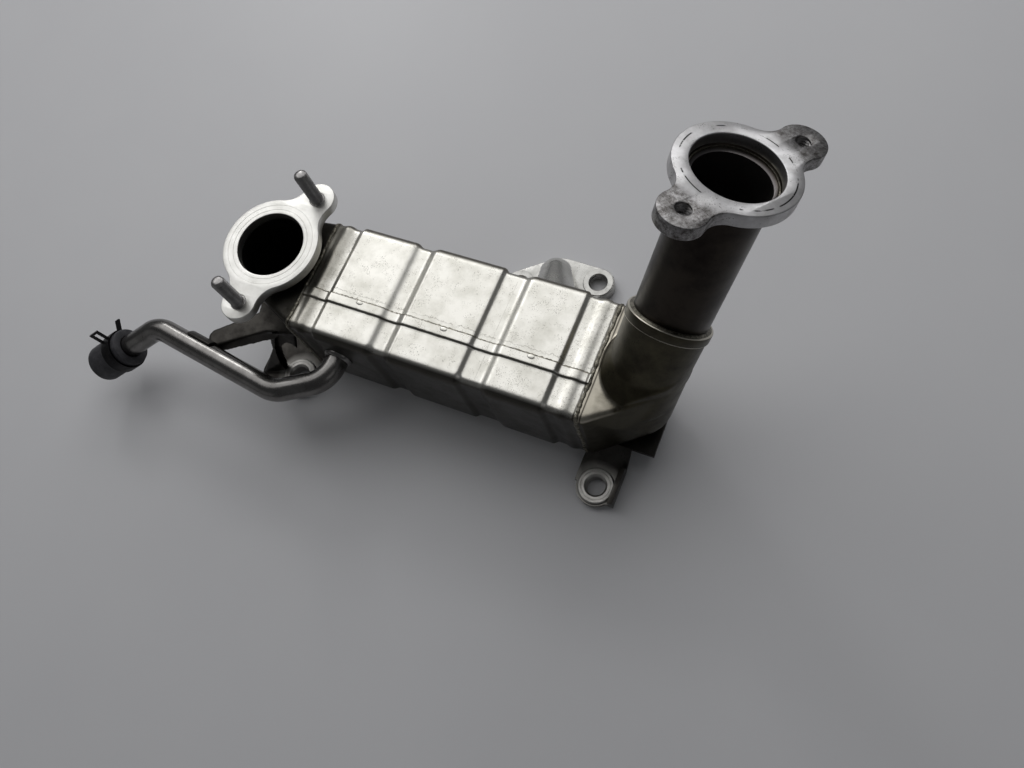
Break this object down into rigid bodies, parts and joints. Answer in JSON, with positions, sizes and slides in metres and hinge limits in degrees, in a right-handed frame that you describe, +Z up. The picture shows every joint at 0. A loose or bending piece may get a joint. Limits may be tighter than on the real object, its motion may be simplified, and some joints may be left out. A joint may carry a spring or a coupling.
{
  "type": "exhaust gas recirculation cooler",
  "caption": "Brazed exhaust gas cooler: grooved sheet casing, tall leaning inlet pipe, studded outlet flange, bent coolant tube, bolted feet.",
  "frame": {"origin": "centre of the coolant port on the mounting plane", "axes": "+X along the casing towards the gas inlet, +Y to the back, +Z up off the mounting plane"},
  "size_m": [0.4073, 0.1845, 0.2087],
  "materials": {
    "casing_steel": "satin, braze stained",
    "core_steel": "sooted",
    "heat_tinted_steel": "heat tinted",
    "inlet_flange_steel": "machined, stained",
    "outlet_flange_steel": "machined",
    "stud_steel": "oiled",
    "fitting_steel": "matt",
    "tube_steel": "satin",
    "bracket_steel": "dark, worn",
    "hose_rubber": "matt",
    "clamp_steel": "black"
  },
  "bodies": {
    "root": {"casing_rear_half": "casing_steel", "casing_front_half": "casing_steel", "inlet_header_plate": "core_steel", "outlet_header_plate": "core_steel", "gas_tube_1": "core_steel", "gas_tube_2": "core_steel", "gas_tube_3": "core_steel", "gas_tube_4": "core_steel", "gas_tube_5": "core_steel", "gas_tube_6": "core_steel", "gas_fin_1": "core_steel", "gas_fin_2": "core_steel", "gas_fin_3": "core_steel", "gas_fin_4": "core_steel", "gas_fin_5": "core_steel", "gas_fin_6": "core_steel", "inlet_elbow": "heat_tinted_steel", "inlet_pipe": "heat_tinted_steel", "outlet_bonnet": "heat_tinted_steel", "inlet_flange": "inlet_flange_steel", "outlet_flange": "outlet_flange_steel", "outlet_stud_front": "stud_steel", "outlet_stud_back": "stud_steel", "coolant_flange": "fitting_steel", "coolant_cover": "fitting_steel", "left_foot_bush": "fitting_steel", "right_foot_bush": "fitting_steel", "coolant_tube": "tube_steel", "left_bracket": "bracket_steel", "right_bracket": "bracket_steel", "tube_clip": "bracket_steel", "hose_stub": "hose_rubber", "hose_clamp": "clamp_steel"}
  },
  "joints": []
}
